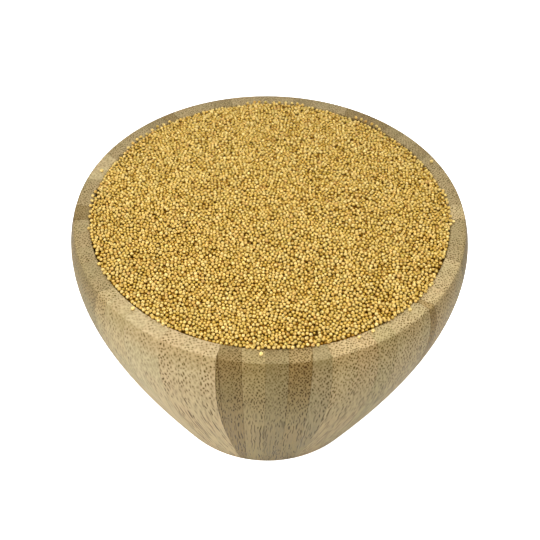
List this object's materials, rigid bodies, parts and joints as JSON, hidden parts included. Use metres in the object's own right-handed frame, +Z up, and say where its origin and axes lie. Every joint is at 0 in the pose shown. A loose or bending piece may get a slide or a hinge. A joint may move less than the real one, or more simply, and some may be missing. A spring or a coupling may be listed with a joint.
{
  "type": "bowl of yellow mustard seeds",
  "caption": "Turned bamboo bowl with a swelling wall and a flat rim, filled to the brim with a low heap of small round yellow mustard seeds.",
  "frame": {"origin": "centre of the flat base that the bowl stands on", "axes": "+Z up along the bowl's axis; the bowl is round, so +X and +Y are free, and the pictured side faces -Y"},
  "size_m": [0.144, 0.144, 0.1022],
  "materials": {
    "bamboo": "satin",
    "seeds": "satin"
  },
  "bodies": {
    "root": {"bowl": "bamboo", "seeds": "seeds"}
  },
  "joints": []
}
